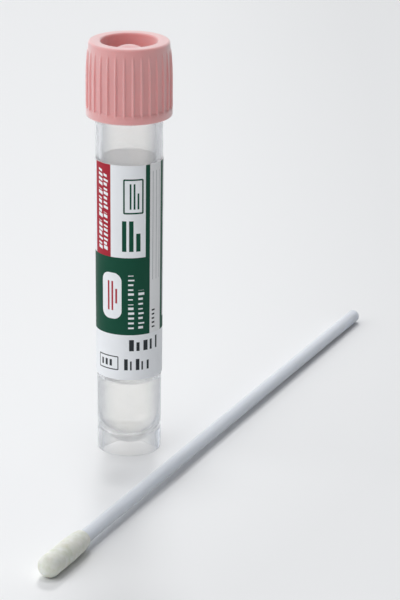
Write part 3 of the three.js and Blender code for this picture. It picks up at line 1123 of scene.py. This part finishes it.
class SWABTUBE_OT_rod(Operator):
    """Build the swab's rod"""

    bl_idname = "swabtube.rod"
    bl_label = "Swab rod"
    bl_options = {"REGISTER", "UNDO"}

    def execute(self, context):
        s = context.scene.swabtube_swab
        radius, end = s.rod_radius / MM, SWAB_LENGTH / MM
        start = s.bud_length / MM - ROD_IN_BUD_MM
        section = [
            (0, start),
            *arc(radius - 0.3, start + 0.3, 0.3, -90, 0, 4),
            *((radius, z) for z in np.linspace(start + 6, end - 6, 30)),
            *arc(radius - 0.2, end - 0.2, 0.2, 0, 90, 4),
            (0, end),
        ]
        bm = turned_form(section, 48)
        unroll(bm, s.rod_radius, "wrap")
        mesh = lay_along_swab(to_mesh(bm, "swab_rod"))
        finish_piece("swab_rod", mesh, [rod_plastic(s)], "tube_body", "rod_plastic", "swab_shaft")
        return {"FINISHED"}


class SWABTUBE_OT_bud(Operator):
    """Build the bud of fibre on the rod's end"""

    bl_idname = "swabtube.bud"
    bl_label = "Swab bud"
    bl_options = {"REGISTER", "UNDO"}

    def execute(self, context):
        s = context.scene.swabtube_swab
        radius, end, rod = s.bud_radius / MM, s.bud_length / MM, s.rod_radius / MM
        bore, floor = rod + 0.02, end - ROD_IN_BUD_MM - 0.3
        rim, widest = rod + 0.45, end / 2
        points = [(0, 0)]
        points += arc(0, radius, radius, -90, 0, 14)[1:]
        points += [(radius, z) for z in np.linspace(radius, widest, 10)[1:]]
        for u in np.linspace(0, 1, 18)[1:]:
            r = (1 - u) ** 2 * radius + 2 * u * (1 - u) * radius + u**2 * rim
            z = (1 - u) ** 2 * widest + 2 * u * (1 - u) * end * 0.86 + u**2 * end
            points.append((r, z))
        points += [(rim - 0.15, end + 0.02), (bore, end - 0.05), (bore, floor), (0, floor)]
        bm = turned_form(points, 72)
        unroll(bm, s.bud_radius, "wrap")
        mesh = lay_along_swab(to_mesh(bm, "swab_bud", 60))
        finish_piece("swab_bud", mesh, [bud_fibre(s)], "tube_body", "bud_fibre", "swab_tip")
        return {"FINISHED"}


# ------------------------------------------------------------------ stage

FLOOR_RADIUS = 2.5
SKY_COLOUR = (0.97, 0.985, 1.0, 1)
LAMPS_AIM = (0, 0, 0.03)
CAMERA_PLACE = (-0.002794, -0.602774, 0.2299)
CAMERA_DOWN_DEGREES = 18.58
CAMERA_ROLL_DEGREES = 0.386
CAMERA_LENS_MM = 206.3
# Each soft lamp's place, the width of its disc, and whether it shows in gloss.
LAMPS = {
    "high": ((-0.2, 0.6, 2.8), 0.7, True),
    "left": ((-0.72, -0.35, 0.72), 1.3, True),
    "back": ((0.0, 4.0, 3.3), 0.9, False),
    "glow": ((-0.3, 4.4, 1.9), 2.8, True),
}


class SWABTUBE_OT_stage(Operator):
    """Build the pale floor, the soft light and the camera"""

    bl_idname = "swabtube.stage"
    bl_label = "Stage"
    bl_options = {"REGISTER", "UNDO"}

    def execute(self, context):
        s = context.scene.swabtube_stage
        self.add_floor(s)
        self.add_light(context, s)
        self.add_camera(context)
        context.scene.view_settings.view_transform = "Standard"
        return {"FINISHED"}

    def add_floor(self, s):
        bm = bmesh.new()
        bmesh.ops.create_circle(bm, cap_ends=True, radius=FLOOR_RADIUS, segments=96)
        bmesh.ops.translate(bm, vec=(0, 0, -0.02 * MM), verts=bm.verts)
        floor = link("floor", to_mesh(bm, "floor"))
        floor.data.materials.append(floor_surface(s))

    def add_light(self, context, s):
        world = bpy.data.worlds.new("soft studio")
        world.use_nodes = True
        tree = world.node_tree
        sky = tree.nodes["Background"]
        sky.inputs["Color"].default_value = SKY_COLOUR
        path = add_node(tree, "ShaderNodeLightPath").outputs
        seen = calc(tree, "MAXIMUM", path["Is Glossy Ray"], path["Is Transmission Ray"])
        seen = calc(tree, "MAXIMUM", seen, path["Is Camera Ray"])
        way = add_node(tree, "ShaderNodeTexCoord").outputs["Generated"]
        across = add_node(tree, "ShaderNodeSeparateXYZ", {"Vector": way}).outputs["X"]
        leaning = calc(tree, "SUBTRACT", 1.0, calc(tree, "MULTIPLY", across, s.tilt))
        even = calc(tree, "MULTIPLY", leaning, s.sky)
        fill(tree, sky.inputs["Strength"], spread(tree, seen, even, s.backdrop))
        context.scene.world = world
        for name, (place, size, shows) in LAMPS.items():
            data = bpy.data.lights.new(name, "AREA")
            data.shape, data.size, data.energy = "DISK", size, getattr(s, name)
            lamp = bpy.data.objects.new(name, data)
            lamp.location = place
            lamp.visible_glossy, lamp.visible_transmission = shows, False
            aim = Vector(LAMPS_AIM) - lamp.location
            lamp.rotation_euler = aim.to_track_quat("-Z", "Y").to_euler()
            context.scene.collection.objects.link(lamp)

    def add_camera(self, context):
        lens = bpy.data.cameras.new("camera")
        lens.lens, lens.sensor_width = CAMERA_LENS_MM, 36
        lens.clip_start, lens.clip_end = 0.01, 20
        camera = bpy.data.objects.new("camera", lens)
        tilt = Euler((math.radians(90 - CAMERA_DOWN_DEGREES), 0, 0)).to_matrix().to_4x4()
        roll = Matrix.Rotation(math.radians(CAMERA_ROLL_DEGREES), 4, "Z")
        camera.matrix_world = Matrix.Translation(CAMERA_PLACE) @ tilt @ roll
        context.scene.collection.objects.link(camera)
        context.scene.camera = camera


# ------------------------------------------------------------------ panel and registration

OPERATORS = (
    SWABTUBE_OT_stage,
    SWABTUBE_OT_tube,
    SWABTUBE_OT_medium,
    SWABTUBE_OT_cap,
    SWABTUBE_OT_label,
    SWABTUBE_OT_rod,
    SWABTUBE_OT_bud,
)


class SWABTUBE_PT_panel(Panel):
    """Lists the pieces with their sizes and colours"""

    bl_idname = "SWABTUBE_PT_panel"
    bl_label = "Swab Tube"
    bl_space_type = "VIEW_3D"
    bl_region_type = "UI"
    bl_category = "Swab Tube"

    def draw(self, context):
        for name, settings in SETTINGS.items():
            box = self.layout.box()
            box.label(text=name.removeprefix("swabtube_").title())
            group = getattr(context.scene, name)
            for field in settings.__annotations__:
                box.prop(group, field)
        for operator in OPERATORS:
            self.layout.operator(operator.bl_idname)


CLASSES = (*SETTINGS.values(), *OPERATORS, SWABTUBE_PT_panel)


def register():
    for cls in CLASSES:
        bpy.utils.register_class(cls)
    for name, settings in SETTINGS.items():
        setattr(bpy.types.Scene, name, PointerProperty(type=settings))


def unregister():
    for name in SETTINGS:
        delattr(bpy.types.Scene, name)
    for cls in reversed(CLASSES):
        bpy.utils.unregister_class(cls)


def main():
    register()
    bpy.ops.swabtube.stage()
    bpy.ops.swabtube.tube()
    bpy.ops.swabtube.medium()
    bpy.ops.swabtube.cap()
    bpy.ops.swabtube.label()
    bpy.ops.swabtube.rod()
    bpy.ops.swabtube.bud()


if __name__ == "__main__":
    main()
